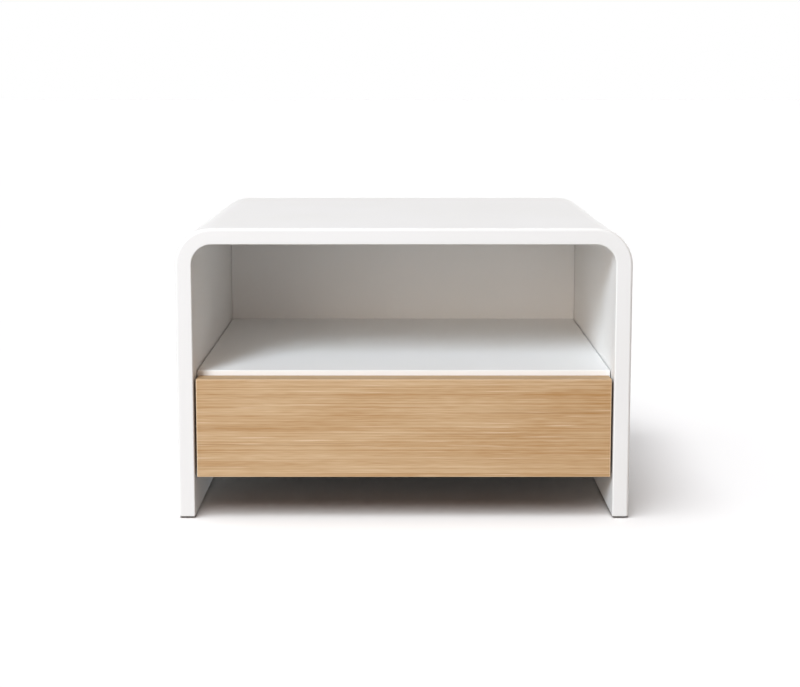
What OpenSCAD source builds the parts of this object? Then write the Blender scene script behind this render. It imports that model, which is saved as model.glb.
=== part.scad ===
// Bedside cabinet: a lacquered waterfall shell on two side panels, with an open
// niche, a shelf and one handle-less drawer on telescopic ball slides.
// Origin: middle of the footprint, on the floor. +X right, front faces -Y, +Z up.
// Millimetres.

/* [Shell] */
// Width over the side panels
cabinet_width = 600; // [520:10:800]
// Depth from the front edges to the rear edges
cabinet_depth = 400; // [385:5:500]
// Height from the floor to the top face
cabinet_height = 390; // [360:5:480]
// Thickness of the top, sides and corner blocks
board = 22; // [19:1:28]
// Radius of the rounded inside corners under the top
corner_radius = 27; // [16:1:45]
// Rounding of the long edges of the shell
edge_radius = 4; // [1:0.5:6]

/* [Shelf, bottom and back] */
// Height of the shelf's upper face above the floor
shelf_height = 195; // [185:1:225]
// Thickness of the shelf
shelf_thickness = 18; // [16:1:22]
// Height of the bottom panel's underside above the floor
bottom_height = 70; // [64:1:80]
// Thickness of the bottom panel
bottom_thickness = 16; // [15:1:19]
// Thickness of the back panel
back_thickness = 18; // [16:1:22]
// Distance from the back panel to the rear edges of the shell
back_inset = 9; // [2:1:20]
// Gap between a fitted panel and the shell, each side
panel_gap = 0.2; // [0.1:0.05:0.5]
// Rounding of the edges of fitted panels
arris = 1; // [0.5:0.25:2]

/* [Drawer front] */
// Thickness of the drawer front
front_thickness = 22; // [18:1:25]
// Height of the drawer front's lower edge above the floor
front_low_edge = 56; // [48:1:60]
// Drop from the shelf's upper face to the drawer front's top edge
front_top_drop = 6.4; // [4:0.2:9]
// Gap between the drawer front and each side panel
front_side_gap = 3; // [1.5:0.25:4]
// Setback of the drawer front behind the shell's front edges
front_recess = 1.5; // [0:0.5:5]
// Gap between the drawer front and the shelf edge behind it
front_rear_gap = 1.5; // [1:0.25:3]
// Radius of the finger cove under the lower rear edge
cove_radius = 10; // [6:1:13]

/* [Drawer box] */
// Thickness of the box sides, box front and box back
box_wall = 15; // [14:1:18]
// Gap between the box and the bottom panel
box_gap_below = 5; // [3:1:8]
// Gap between the box and the shelf
box_gap_above = 6; // [4:1:10]
// Length of the box beyond the slides
box_overhang = 20; // [10:1:24]
// Thickness of the plywood bottom
ply_thickness = 6; // [4:1:8]
// Height of the plywood bottom above the box's lower edge
ply_height = 10; // [8:1:14]
// Depth of the grooves that hold the plywood
groove_depth = 6; // [4:1:7]

/* [Telescopic slides] */
// Space between a side panel and the drawer box
slide_space = 13; // [12.6:0.1:14]
// Height of the cabinet member
slide_height = 45; // [42:1:50]
// Steel thickness of the members
slide_steel = 1.2; // [1:0.1:1.4]
// Diameter of the balls between cabinet and middle member
outer_ball = 4; // [3.6:0.1:4.4]
// Diameter of the balls between middle and drawer member
inner_ball = 3.2; // [3:0.1:3.6]
// Distance between two balls of a row
ball_pitch = 20; // [12:1:24]
// Thickness of the ball cages
cage_thickness = 0.6; // [0.5:0.1:0.7]
// Length of the rubber stop behind the members
stop_length = 6; // [4:1:10]

/* [Fittings] */
// Diameter of the dowels in the carcass
dowel_diameter = 8; // [6:1:9]
// Length of the dowels in the carcass
dowel_length = 30; // [25:1:34]
// Diameter of the dowels in the drawer box
box_dowel_diameter = 6; // [5:1:8]
// Diameter of the cam discs
cam_diameter = 15; // [12:1:16]
// Distance from a panel's end to the middle of its cam
cam_distance = 24; // [20:1:34]
// Diameter of the cam bolt's threaded end
bolt_thread = 6; // [5:0.5:7]
// Diameter of the long screws in the back panel
back_screw_diameter = 4; // [3.5:0.5:5]
// Length of the long screws in the back panel
back_screw_length = 45; // [40:1:60]
// Length of the screws that hold the drawer front
front_screw_length = 29; // [24:1:32]
// Width of the oval slots in the members
slot_width = 5; // [3:0.5:7]
// Length of the oval slots in the members
slot_length = 16; // [10:1:24]
// Diameter of the holes in the middle member that let a screwdriver through
access_diameter = 9; // [7:0.5:11]
// Diameter of the screws that hold the slides
slide_screw_diameter = 3.5; // [3:0.5:4]
// Length of the screws that hold the slides
slide_screw_length = 12; // [10:1:13]
// Diameter of the glides
glide_diameter = 18; // [14:1:18]
// Height of the glides
glide_height = 2; // [2:0.5:5]
// Distance from a front or rear edge to the middle of a glide
glide_setback = 14; // [12:1:40]
// Length of the nail in a glide
nail_length = 15; // [10:1:25]
// Diameter of the soft bumpers behind the drawer front
bumper_diameter = 8; // [5:1:9]

/* [Hidden] */

// How finely round shapes are cut, and the overcut of holes that open at a face
$fn = 64;
cut = 1;

// Clearances: glued or screwed fits, running faces, and the ends of blind holes
fit = 0.05;
running = 0.3;
blind = 0.5;

// Planes of the shell
left_x = -cabinet_width / 2;
front_y = -cabinet_depth / 2;
rear_y = cabinet_depth / 2;
inner_x = left_x + board;
top_z = cabinet_height - board;
outer_radius = corner_radius + board;
arc_x = left_x + outer_radius;
arc_z = cabinet_height - outer_radius;
side_mid_x = left_x + board / 2;
top_mid_z = top_z + board / 2;

// Planes of the panels inside it
panel_front_y = front_y + front_recess + front_thickness + front_rear_gap;
back_front_y = rear_y - back_inset - back_thickness;
back_mid_y = back_front_y + back_thickness / 2;
back_rear_y = back_front_y + back_thickness;
shelf_low_z = shelf_height - shelf_thickness;
shelf_mid_z = shelf_height - shelf_thickness / 2;
bottom_top_z = bottom_height + bottom_thickness;
bottom_mid_z = bottom_height + bottom_thickness / 2;
panel_half = -inner_x - panel_gap;

// The drawer front and box
face_y = front_y + front_recess;
face_rear_y = face_y + front_thickness;
face_half = -inner_x - front_side_gap;
face_top_z = shelf_height - front_top_drop;
box_low_z = bottom_top_z + box_gap_below;
box_top_z = shelf_low_z - box_gap_above;
box_mid_z = (box_low_z + box_top_z) / 2;
box_side_x = inner_x + slide_space;
box_inner_x = box_side_x + box_wall;

// Slides come in steps of 50 mm, and the longest that fits is used
slide_step = 50;
slide_margin = 2;
slide_front_y = panel_front_y + slide_margin;
slide_room = back_front_y - slide_margin - box_overhang - slide_front_y;
slide_length = slide_step * floor(slide_room / slide_step);
slide_rear_y = slide_front_y + slide_length;
member_rear_y = slide_rear_y - stop_length - running;
member_length = member_rear_y - slide_front_y;
member_mid_y = (slide_front_y + member_rear_y) / 2;
box_rear_y = slide_rear_y + box_overhang;

// Cross-section of a slide, x from the side panel, z from its middle
race_half = slide_height / 2 - slide_steel;
middle_half = race_half - outer_ball - 2 * fit;
inner_race_half = middle_half - slide_steel;
drawer_half = inner_race_half - inner_ball - 2 * fit;
lip_drop = 1.3;
cage_web_x = slide_steel + running;
middle_web_x = cage_web_x + cage_thickness + running;
inner_cage_x = middle_web_x + slide_steel + running;
drawer_web_x = slide_space - slide_steel;
drawer_flange_x = inner_cage_x + cage_thickness + 2 * running;
middle_flange_x = drawer_web_x - 4 * running;
outer_flange_x = middle_flange_x - running;
outer_ball_x = (cage_web_x + outer_flange_x - slide_steel) / 2;
inner_ball_x = (drawer_flange_x + middle_flange_x - slide_steel) / 2;

// A cage stays inside the members' shortest overlap, which is at full travel
balls_in_row = floor((member_length - slide_length / 2) / ball_pitch) - 1;
cage_length = balls_in_row * ball_pitch;
outer_row_z = race_half - outer_ball / 2 - fit;
inner_row_z = inner_race_half - inner_ball / 2 - fit;

// Screw and nail sizes
front_screw_radius = 2;
front_head_radius = 4;
front_head_height = 2.2;
front_screw_tip = 4;
front_head_room = 2;
nail_radius = 1.2;
nail_head_radius = 2.6;
nail_head_z = 0.8;
nail_head_height = 0.6;

// Fitting positions
joint_setback = 50;
dowel_setback = 82;
corner_dowel_margin = 40;
corner_dowel_count = 4;
corner_dowel_pitch = (cabinet_depth - 2 * corner_dowel_margin) / (corner_dowel_count - 1);
side_dowel_depth = 10;
panel_ends_y = [panel_front_y + joint_setback, back_front_y - joint_setback];
panel_dowels_y = [panel_front_y + dowel_setback, back_front_y - dowel_setback];
back_cams_z = [(bottom_top_z + shelf_low_z) / 2, (shelf_height + arc_z) / 2];
back_screw_setback = 100;
back_screws_x = [back_screw_setback - panel_half, 0, panel_half - back_screw_setback];
back_dowels_x = [arc_x + joint_setback, 0, -arc_x - joint_setback];
front_screw_setback = 100;
front_screw_drop = 22;
front_screws_x = [box_inner_x + front_screw_setback, -box_inner_x - front_screw_setback];
front_screws_z = [box_low_z + ply_height + ply_thickness + front_head_radius + front_head_room,
                  box_top_z - front_screw_drop];
slide_screw_setback = 24;
slide_screws_y = [slide_front_y + slide_screw_setback, (slide_front_y + slide_rear_y) / 2,
                  slide_rear_y - slide_screw_setback];
slots_y = [for (i = [0 : len(slide_screws_y) - 2]) (slide_screws_y[i] + slide_screws_y[i + 1]) / 2];
box_dowel_height = 30;
box_dowel_drop = 14;
box_dowels_z = [box_low_z + box_dowel_height, box_top_z - box_dowel_drop];
box_dowel_skin = 5;
bumper_setback = 75;
bumpers_x = [bumper_setback - face_half, face_half - bumper_setback];
bumpers_z = [bottom_mid_z, (shelf_low_z + face_top_z) / 2];
bumper_length = front_rear_gap - running;
glides_y = [front_y + glide_setback, rear_y - glide_setback];

// Cam fitting sizes
bolt_thread_length = 11;
bolt_neck = 4;
bolt_head = 7;
bolt_head_length = 3;
cam_cover = 4;

// Joints made with a cam: [y, z, thickness of the panel, true where the cam opens to the rear]
shelf_cams = [for (y = panel_ends_y) [y, shelf_mid_z, shelf_thickness, false]];
bottom_cams = [for (y = panel_ends_y) [y, bottom_mid_z, bottom_thickness, false]];
back_cams = [for (z = back_cams_z) [back_mid_y, z, back_thickness, true]];
all_cams = concat(shelf_cams, bottom_cams, back_cams);

// Colours
lacquer = "#f2f1ef";
oak = "#c9a47c";
birch = "#e0c9a2";
beech = "#d9b184";
zinc = "#b9bcc0";
dark_steel = "#6b6e72";
black_plastic = "#232323";
grey_rubber = "#55565a";
clear_soft = "#cfd2d2";

// ---- Shared shapes ----

// A rectangle with rounded corners, its low corner at the origin
module rounded_rectangle(width, length, radius) {
    translate([radius, 0]) square([width - 2 * radius, length]);
    translate([0, radius]) square([width, length - 2 * radius]);
    for (x = [radius, width - radius], y = [radius, length - radius])
        translate([x, y]) circle(r = radius);
}

// A board from one corner to the other, its edges rounded along X and along Y
module fitted_board(low, high, radius) {
    size = high - low;
    translate(low)
        intersection() {
            rotate([90, 0, 90]) linear_extrude(size.x) rounded_rectangle(size.y, size.z, radius);
            translate([0, size.y, 0])
                rotate([90, 0, 0]) linear_extrude(size.y) rounded_rectangle(size.x, size.z, radius);
        }
}

// A straight hole or rod along +X, +Y or +Z from a point
module rod_x(from, radius, length) {
    translate(from) rotate([0, 90, 0]) cylinder(r = radius, h = length);
}

module rod_y(from, radius, length) {
    translate(from) rotate([-90, 0, 0]) cylinder(r = radius, h = length);
}

module rod_z(from, radius, length) {
    translate(from) cylinder(r = radius, h = length);
}

// A dowel along +Z from the origin with chamfered ends
module dowel(diameter, length) {
    chamfer = 1;
    radius = diameter / 2 - fit;
    cylinder(r1 = radius - chamfer, r2 = radius, h = chamfer);
    translate([0, 0, chamfer]) cylinder(r = radius, h = length - 2 * chamfer);
    translate([0, 0, length - chamfer]) cylinder(r1 = radius, r2 = radius - chamfer, h = chamfer);
}

// Its hole, longer than the dowel by the blind clearance at both ends
module dowel_hole(diameter, length) {
    translate([0, 0, -blind]) cylinder(d = diameter, h = length + 2 * blind);
}

// A countersunk screw along -Z, its head flush with z = 0; grow makes the hole for it
module countersunk(diameter, length, grow = 0) {
    head_height = diameter * 0.5;
    tip = diameter;
    radius = diameter / 2;
    translate([0, 0, -head_height])
        cylinder(r1 = radius + grow, r2 = diameter + grow, h = head_height);
    translate([0, 0, tip - length])
        cylinder(r = radius + grow, h = length - tip - head_height);
    translate([0, 0, -length - grow])
        cylinder(r1 = radius / 3, r2 = radius + grow, h = tip + grow);
}

// A cross recess at z = 0, cut downwards
module cross_recess(width, depth) {
    slot = width / 5;
    for (turn = [0, 90])
        rotate([0, 0, turn])
            translate([-width / 2, -slot / 2, -depth]) cube([width, slot, depth + cut]);
}

// Runs its children on the left and, mirrored, on the right
module both_sides() {
    children();
    mirror([1, 0, 0]) children();
}

// Puts its children on the left at each cam joint: x runs from the side panel's
// inner face into the panel, and z points away from the cam's open face
module at_cams(joints) {
    for (joint = joints) {
        $panel = joint[2];
        translate([inner_x, joint[0], joint[1]])
            rotate([joint[3] ? 90 : 0, 0, 0]) children();
    }
}

// ---- Shell ----

// Cross-section of the shell: thickness by depth
module shell_section() {
    rounded_rectangle(board, cabinet_depth, edge_radius);
}

// Dowels of one corner: along X into the top and along Z into the side
module at_top_dowels() {
    for (i = [0 : corner_dowel_count - 1])
        translate([arc_x - dowel_length / 2, front_y + corner_dowel_margin + i * corner_dowel_pitch, top_mid_z])
            rotate([0, 90, 0]) children();
}

module at_side_dowels() {
    for (i = [0 : corner_dowel_count - 1])
        translate([side_mid_x, front_y + corner_dowel_margin + i * corner_dowel_pitch, arc_z - dowel_length / 2])
            children();
}

// Dowels of the shelf and bottom panel in the left side panel
module at_panel_dowels() {
    for (y = panel_dowels_y, z = [shelf_mid_z, bottom_mid_z])
        translate([inner_x - side_dowel_depth, y, z]) rotate([0, 90, 0]) children();
}

// Dowels between the top and the back panel
module at_back_dowels() {
    for (x = back_dowels_x)
        translate([x, back_mid_y, top_z - dowel_length / 2]) children();
}

module top_panel() {
    color(lacquer)
        difference() {
            translate([arc_x, front_y, cabinet_height])
                rotate([0, 90, 0])
                    linear_extrude(-2 * arc_x) shell_section();
            both_sides() at_top_dowels() dowel_hole(dowel_diameter, dowel_length);
            at_back_dowels() dowel_hole(dowel_diameter, dowel_length);
        }
}

module corner_block() {
    color(lacquer)
        difference() {
            translate([arc_x, rear_y, arc_z])
                rotate([90, 0, 0])
                    rotate([0, 0, 90])
                        rotate_extrude(angle = 90)
                            translate([corner_radius, 0]) shell_section();
            at_top_dowels() dowel_hole(dowel_diameter, dowel_length);
            at_side_dowels() dowel_hole(dowel_diameter, dowel_length);
        }
}

module side_panel() {
    foot = glide_height;
    color(lacquer)
        difference() {
            intersection() {
                translate([left_x, front_y, foot])
                    linear_extrude(arc_z - foot) shell_section();
                translate([left_x, rear_y, foot])
                    rotate([90, 0, 0])
                        linear_extrude(cabinet_depth) rounded_rectangle(board, arc_z, edge_radius);
            }
            at_side_dowels() dowel_hole(dowel_diameter, dowel_length);
            at_panel_dowels() dowel_hole(dowel_diameter, dowel_length);
            at_cams(all_cams) cam_bolt_hole_in_side();
            at_cabinet_slide_screws() countersunk(slide_screw_diameter, slide_screw_length, fit);
            at_glides() nail(fit);
        }
}

module corner_dowels() {
    color(beech)
        both_sides() {
            at_top_dowels() dowel(dowel_diameter, dowel_length);
            at_side_dowels() dowel(dowel_diameter, dowel_length);
        }
}

// ---- Cam fittings ----

// Height of a cam in a panel of the given thickness
function cam_height(thickness) = thickness / 2 + cam_cover;

// Bolt: thread in the side panel, neck, and a head in the cam
module cam_bolt() {
    rod_x([-bolt_thread_length, 0, 0], bolt_thread / 2 - fit, bolt_thread_length);
    rod_x([0, 0, 0], bolt_neck / 2, cam_distance);
    rod_x([cam_distance - bolt_head_length / 2, 0, 0], bolt_head / 2, bolt_head_length);
}

module cam_bolt_hole_in_side() {
    rod_x([-bolt_thread_length - blind, 0, 0], bolt_thread / 2, bolt_thread_length + blind + cut);
}

// Disc with a slot for the bolt's neck, a pocket for its head and a cross recess
module cam_disc() {
    neck_room = bolt_neck / 2 + running;
    head_room = bolt_head / 2 + running;
    head_pocket = bolt_head_length + 2 * running;
    height = cam_height($panel);
    translate([cam_distance, 0, -$panel / 2])
        difference() {
            cylinder(d = cam_diameter - 2 * fit, h = height);
            translate([-cam_diameter, -neck_room, $panel / 2 - neck_room])
                cube([cam_diameter, 2 * neck_room, 2 * neck_room]);
            rod_x([-head_pocket / 2, 0, $panel / 2], head_room, head_pocket);
            mirror([0, 0, 1]) cross_recess(cam_diameter * 0.5, 2);
        }
}

// Bolt passage and cam bore in the panel that the cam draws up
module cam_bores() {
    rod_x([-cut, 0, 0], bolt_head / 2 + running, cam_distance + cut);
    translate([cam_distance, 0, -$panel / 2 - cut])
        cylinder(d = cam_diameter, h = cam_height($panel) + running + cut);
}

module cam_bolts() {
    color(zinc) both_sides() at_cams(all_cams) cam_bolt();
}

module cam_discs() {
    color(dark_steel) both_sides() at_cams(all_cams) cam_disc();
}

// ---- Shelf, bottom and back ----

module at_back_screws(z) {
    for (x = back_screws_x)
        translate([x, back_rear_y, z]) rotate([-90, 0, 0]) children();
}

module shelf() {
    color(lacquer)
        difference() {
            fitted_board([-panel_half, panel_front_y, shelf_low_z], [panel_half, back_front_y, shelf_height], arris);
            both_sides() {
                at_cams(shelf_cams) cam_bores();
                at_panel_dowels() dowel_hole(dowel_diameter, dowel_length);
            }
            at_back_screws(shelf_mid_z) countersunk(back_screw_diameter, back_screw_length, fit);
        }
}

module bottom_panel() {
    color(lacquer)
        difference() {
            fitted_board([-panel_half, panel_front_y, bottom_height],
                         [panel_half, back_front_y, bottom_top_z], arris);
            both_sides() {
                at_cams(bottom_cams) cam_bores();
                at_panel_dowels() dowel_hole(dowel_diameter, dowel_length);
            }
            at_back_screws(bottom_mid_z) countersunk(back_screw_diameter, back_screw_length, fit);
        }
}

// Outline of the back panel: its upper corners follow the shell's corners
module back_outline() {
    radius = corner_radius;
    high_z = top_z - panel_gap;
    translate([-panel_half, bottom_height]) square([2 * panel_half, high_z - radius - bottom_height]);
    translate([radius - panel_half, bottom_height])
        square([2 * (panel_half - radius), high_z - bottom_height]);
    for (x = [radius - panel_half, panel_half - radius])
        translate([x, high_z - radius]) circle(r = radius);
}

module back_panel() {
    color(lacquer)
        difference() {
            intersection() {
                translate([0, back_rear_y, 0])
                    rotate([90, 0, 0]) linear_extrude(back_thickness) back_outline();
                translate([-panel_half, back_front_y, bottom_height])
                    linear_extrude(top_z - bottom_height)
                        rounded_rectangle(2 * panel_half, back_thickness, arris);
            }
            both_sides() at_cams(back_cams) cam_bores();
            at_back_dowels() dowel_hole(dowel_diameter, dowel_length);
            at_back_screws(shelf_mid_z) countersunk(back_screw_diameter, back_screw_length, fit);
            at_back_screws(bottom_mid_z) countersunk(back_screw_diameter, back_screw_length, fit);
        }
}

module panel_dowels() {
    color(beech) {
        both_sides() at_panel_dowels() dowel(dowel_diameter, dowel_length);
        at_back_dowels() dowel(dowel_diameter, dowel_length);
    }
}

module back_screws() {
    color(zinc)
        for (z = [shelf_mid_z, bottom_mid_z])
            at_back_screws(z)
                difference() {
                    countersunk(back_screw_diameter, back_screw_length);
                    cross_recess(back_screw_diameter, 1.2);
                }
}

// ---- Glides and bumpers ----

module at_glides() {
    for (y = glides_y) translate([side_mid_x, y, 0]) children();
}

// Nail up from inside the glide; grow makes the hole for it
module nail(grow = 0) {
    translate([0, 0, nail_head_z]) cylinder(r = nail_head_radius + grow, h = nail_head_height + grow);
    translate([0, 0, nail_head_z]) cylinder(r = nail_radius + grow, h = nail_length + grow);
}

module glides() {
    chamfer = 0.4;
    radius = glide_diameter / 2;
    color(black_plastic)
        both_sides() at_glides()
            difference() {
                union() {
                    cylinder(r1 = radius - chamfer, r2 = radius, h = chamfer);
                    translate([0, 0, chamfer]) cylinder(r = radius, h = glide_height - chamfer);
                }
                nail(fit);
                translate([0, 0, -cut]) cylinder(r = nail_head_radius + fit, h = nail_head_z + cut);
            }
}

module glide_nails() {
    color(zinc) both_sides() at_glides() nail();
}

module drawer_bumpers() {
    color(clear_soft)
        for (x = bumpers_x, z = bumpers_z)
            rod_y([x, panel_front_y - bumper_length, z], bumper_diameter / 2, bumper_length);
}

// ---- Drawer ----

module at_front_screws() {
    for (x = front_screws_x, z = front_screws_z)
        translate([x, face_rear_y + box_wall, z]) rotate([-90, 0, 0]) children();
}

// Pan-head screw along -Z, the head's seat at z = 0; grow makes the hole for it
module pan_head(grow = 0) {
    radius = front_screw_radius + grow;
    translate([0, 0, -grow]) cylinder(r = front_head_radius + grow, h = front_head_height + grow);
    translate([0, 0, front_screw_tip - front_screw_length])
        cylinder(r = radius, h = front_screw_length - front_screw_tip);
    translate([0, 0, -front_screw_length - grow])
        cylinder(r1 = radius / 3, r2 = radius, h = front_screw_tip + grow);
}

module drawer_front() {
    low = [-face_half, face_y, front_low_edge];
    high = [face_half, face_rear_y, face_top_z];
    color(oak)
        difference() {
            fitted_board(low, high, arris);
            rod_x([-face_half - cut, face_rear_y, front_low_edge], cove_radius, 2 * (face_half + cut));
            at_front_screws() pan_head(fit);
        }
}

// Groove for the plywood bottom, cut into all four walls
module ply_groove() {
    reach = groove_depth + blind;
    translate([box_inner_x - reach, face_rear_y + box_wall - reach, box_low_z + ply_height - fit])
        cube([2 * (reach - box_inner_x), box_rear_y - face_rear_y - 2 * (box_wall - reach),
              ply_thickness + 2 * fit]);
}

// Dowels between a box side and the box front or back, on the left
module at_box_dowels() {
    depth = box_wall - box_dowel_skin;
    for (y = [face_rear_y + box_wall / 2, box_rear_y - box_wall / 2], z = box_dowels_z)
        translate([box_inner_x - depth, y, z]) rotate([0, 90, 0]) children();
}

module drawer_side() {
    color(birch)
        difference() {
            translate([box_side_x, face_rear_y, box_low_z])
                cube([box_wall, box_rear_y - face_rear_y, box_top_z - box_low_z]);
            ply_groove();
            at_box_dowels() dowel_hole(box_dowel_diameter, dowel_length);
            at_drawer_slide_screws() countersunk(slide_screw_diameter, slide_screw_length, fit);
        }
}

// Box front or back between the two sides, its front face at y
module box_end(y) {
    difference() {
        translate([box_inner_x, y, box_low_z])
            cube([-2 * box_inner_x, box_wall, box_top_z - box_low_z]);
        ply_groove();
        both_sides() at_box_dowels() dowel_hole(box_dowel_diameter, dowel_length);
        at_front_screws() pan_head(fit);
    }
}

module box_front() {
    color(birch) box_end(face_rear_y);
}

module box_back() {
    color(birch) box_end(box_rear_y - box_wall);
}

module box_bottom() {
    color(birch)
        translate([box_inner_x - groove_depth, face_rear_y + box_wall - groove_depth, box_low_z + ply_height])
            cube([2 * (groove_depth - box_inner_x), box_rear_y - face_rear_y - 2 * (box_wall - groove_depth),
                  ply_thickness]);
}

module box_dowels() {
    color(beech) both_sides() at_box_dowels() dowel(box_dowel_diameter, dowel_length);
}

module front_screws() {
    color(zinc)
        at_front_screws()
            difference() {
                pan_head();
                translate([0, 0, front_head_height]) cross_recess(front_head_radius, 1.4);
            }
}

// ---- Telescopic slides ----

// Upper half of a channel section: web, flange and a lip at the flange's end
module channel_half(web_x, flange_x, half, drop) {
    translate([web_x, 0]) square([slide_steel, half]);
    translate([min(web_x, flange_x), half - slide_steel])
        square([abs(flange_x - web_x), slide_steel]);
    if (drop > 0)
        translate([flange_x - slide_steel, half - slide_steel - drop]) square([slide_steel, slide_steel + drop]);
}

// A channel along Y, drawn from the side panel's face and the slide's middle
module channel(web_x, flange_x, half, drop, low_y, length) {
    translate([inner_x, low_y + length, box_mid_z])
        rotate([90, 0, 0])
            linear_extrude(length) {
                channel_half(web_x, flange_x, half, drop);
                mirror([0, 1]) channel_half(web_x, flange_x, half, drop);
            }
}

// Screws through the cabinet member into the side panel, on the left
module at_cabinet_slide_screws() {
    for (y = slide_screws_y)
        translate([inner_x + slide_steel, y, box_mid_z]) rotate([0, 90, 0]) children();
}

// Screws through the drawer member into the box side, on the left
module at_drawer_slide_screws() {
    for (y = slide_screws_y)
        translate([inner_x + drawer_web_x, y, box_mid_z]) rotate([0, -90, 0]) children();
}

// Oval slots through a web, between the screws
module web_slots(web_x) {
    reach = (slot_length - slot_width) / 2;
    for (y = slots_y) {
        for (end = [-1, 1])
            rod_x([inner_x + web_x - cut, y + end * reach, box_mid_z], slot_width / 2, slide_steel + 2 * cut);
        translate([inner_x + web_x - cut, y - reach, box_mid_z - slot_width / 2])
            cube([slide_steel + 2 * cut, 2 * reach, slot_width]);
    }
}

module slide_screw() {
    difference() {
        countersunk(slide_screw_diameter, slide_screw_length);
        cross_recess(slide_screw_diameter, 1);
    }
}

module cabinet_slide() {
    color(zinc)
        difference() {
            channel(0, outer_flange_x, slide_height / 2, lip_drop, slide_front_y, slide_length);
            at_cabinet_slide_screws() countersunk(slide_screw_diameter, slide_screw_length, fit);
            web_slots(0);
        }
}

module middle_slide() {
    color(zinc)
        difference() {
            channel(middle_web_x, middle_flange_x, middle_half, lip_drop, slide_front_y, member_length);
            for (y = slide_screws_y)
                rod_x([inner_x + middle_web_x - cut, y, box_mid_z], access_diameter / 2, slide_steel + 2 * cut);
            web_slots(middle_web_x);
        }
}

module drawer_slide() {
    color(zinc)
        difference() {
            channel(drawer_web_x, drawer_flange_x, drawer_half, 0, slide_front_y, member_length);
            at_drawer_slide_screws() countersunk(slide_screw_diameter, slide_screw_length, fit);
            web_slots(drawer_web_x);
        }
}

// Balls of one cage: two rows at the given height above and below the middle
module ball_rows(x, z, radius) {
    for (i = [0 : balls_in_row - 1], side = [-1, 1])
        translate([inner_x + x, member_mid_y + (i - (balls_in_row - 1) / 2) * ball_pitch, box_mid_z + side * z])
            sphere(r = radius);
}

// Cage: a thin channel whose flanges hold the balls
module ball_cage(web_x, flange_x, ball_x, z, ball) {
    half = cage_thickness / 2;
    low_y = member_mid_y - cage_length / 2;
    difference() {
        translate([inner_x, low_y + cage_length, box_mid_z])
            rotate([90, 0, 0])
                linear_extrude(cage_length) {
                    translate([web_x, -z - half]) square([cage_thickness, 2 * (z + half)]);
                    for (side = [-1, 1])
                        translate([web_x, side * z - half]) square([flange_x - web_x, cage_thickness]);
                }
        for (i = [0 : balls_in_row - 1])
            rod_z([inner_x + ball_x, member_mid_y + (i - (balls_in_row - 1) / 2) * ball_pitch,
                   box_mid_z - z - ball], ball / 2 + fit, 2 * (z + ball));
    }
}

module outer_cage() {
    color(black_plastic)
        ball_cage(cage_web_x, outer_flange_x - slide_steel - running, outer_ball_x, outer_row_z, outer_ball);
}

module inner_cage() {
    color(black_plastic)
        ball_cage(inner_cage_x, middle_flange_x - slide_steel - running, inner_ball_x, inner_row_z, inner_ball);
}

module outer_balls() {
    color(dark_steel) ball_rows(outer_ball_x, outer_row_z, outer_ball / 2);
}

module inner_balls() {
    color(dark_steel) ball_rows(inner_ball_x, inner_row_z, inner_ball / 2);
}

// Rubber block at the rear end of each cabinet member
module slide_stops() {
    color(grey_rubber)
        both_sides()
            translate([inner_x + slide_steel, slide_rear_y - stop_length, box_mid_z - drawer_half])
                cube([drawer_flange_x, stop_length, 2 * drawer_half]);
}

module cabinet_slide_screws() {
    color(zinc) both_sides() at_cabinet_slide_screws() slide_screw();
}

module drawer_slide_screws() {
    color(zinc) both_sides() at_drawer_slide_screws() slide_screw();
}

module left() {
    children();
}

module right() {
    mirror([1, 0, 0]) children();
}

top_panel();
left() corner_block();  // corner_block_left
right() corner_block();  // corner_block_right
left() side_panel();  // side_panel_left
right() side_panel();  // side_panel_right
corner_dowels();
shelf();
bottom_panel();
back_panel();
panel_dowels();
cam_bolts();
cam_discs();
back_screws();
glides();
glide_nails();
drawer_bumpers();
drawer_front();
left() drawer_side();  // drawer_side_left
right() drawer_side();  // drawer_side_right
box_front();
box_back();
box_bottom();
box_dowels();
front_screws();
left() cabinet_slide();  // cabinet_slide_left
right() cabinet_slide();  // cabinet_slide_right
left() middle_slide();  // middle_slide_left
right() middle_slide();  // middle_slide_right
left() drawer_slide();  // drawer_slide_left
right() drawer_slide();  // drawer_slide_right
left() outer_cage();  // outer_cage_left
right() outer_cage();  // outer_cage_right
left() inner_cage();  // inner_cage_left
right() inner_cage();  // inner_cage_right
left() outer_balls();  // outer_balls_left
right() outer_balls();  // outer_balls_right
left() inner_balls();  // inner_balls_left
right() inner_balls();  // inner_balls_right
slide_stops();
cabinet_slide_screws();
drawer_slide_screws();
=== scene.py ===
"""Bedside cabinet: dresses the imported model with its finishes, floor, light and camera.

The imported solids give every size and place. The lacquered shell, the veneered
drawer front and the shelf stand here as fine meshes in place of their solids. Every
other solid keeps its shape and gets the finish of its real material.
"""

import logging
import math
from dataclasses import dataclass
from enum import Enum
from typing import Any, Iterable, Sequence

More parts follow.
